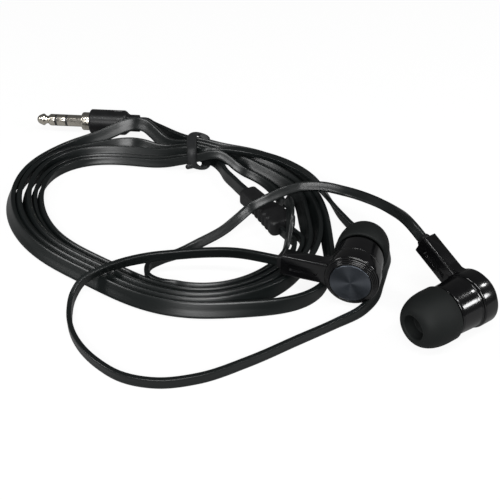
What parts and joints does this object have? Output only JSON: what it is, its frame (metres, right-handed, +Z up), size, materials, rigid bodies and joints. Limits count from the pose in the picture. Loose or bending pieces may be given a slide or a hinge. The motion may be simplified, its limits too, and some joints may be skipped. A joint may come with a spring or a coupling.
{
  "type": "wired earphones",
  "caption": "Pair of in-ear earphones with ribbed-trim housings, a flat cord wound up under a soft tie, an in-line splitter and a straight stereo jack plug.",
  "frame": {"origin": "under the middle of the two earpieces, on the surface that they lie on", "axes": "+X to the viewer's right along the pair, +Y away from the viewer towards the coil and the plug, +Z up"},
  "size_m": [0.1187, 0.1111, 0.0152],
  "materials": {
    "gloss_black": "gloss moulded",
    "spun_disc": "dark spun",
    "silicone": "matte silicone",
    "cord_black": "satin jacket",
    "grip_black": "satin moulded",
    "tie_black": "matte",
    "insulator": "satin",
    "nickel": "plated",
    "steel": "satin",
    "magnet": "nickel plated",
    "copper": "enamelled copper",
    "film": "translucent film"
  },
  "bodies": {
    "main": {"left_rear_shell": "gloss_black", "left_front_shell": "gloss_black", "left_trim_ring": "gloss_black", "left_end_disc": "spun_disc", "left_nozzle_screen": "steel", "left_driver_basket": "steel", "left_driver_magnet": "magnet", "left_driver_yoke": "steel", "left_driver_plate": "steel", "left_voice_coil": "copper", "left_diaphragm": "film", "left_cord_gland": "cord_black", "left_cord_knot": "copper", "right_rear_shell": "gloss_black", "right_front_shell": "gloss_black", "right_trim_ring": "gloss_black", "right_end_disc": "spun_disc", "right_nozzle_screen": "steel", "right_driver_basket": "steel", "right_driver_magnet": "magnet", "right_driver_yoke": "steel", "right_driver_plate": "steel", "right_voice_coil": "copper", "right_diaphragm": "film", "right_cord_gland": "cord_black", "right_cord_knot": "copper", "plug_tip": "nickel", "plug_ring": "nickel", "plug_sleeve": "nickel", "plug_insulators": "insulator", "plug_grip": "grip_black", "splitter": "grip_black", "splitter_joints": "copper", "cable_tie": "tie_black", "plug_lead": "cord_black", "main_coil": "cord_black", "splitter_lead": "cord_black", "left_arm_coil": "cord_black", "left_arm_lead": "cord_black", "right_arm_coil": "cord_black", "right_arm_lead": "cord_black"},
    "left_tip": {"left_ear_tip": "silicone"},
    "right_tip": {"right_ear_tip": "silicone"}
  },
  "joints": [
    {"name": "left_tip_pull", "type": "slide", "parent": "main", "child": "left_tip", "axis": [0.2987, 0.953, -0.0506], "range_m": [0, 0.0045]},
    {"name": "right_tip_pull", "type": "slide", "parent": "main", "child": "right_tip", "axis": [-0.8211, -0.5707, 0], "range_m": [0, 0.0045]}
  ]
}
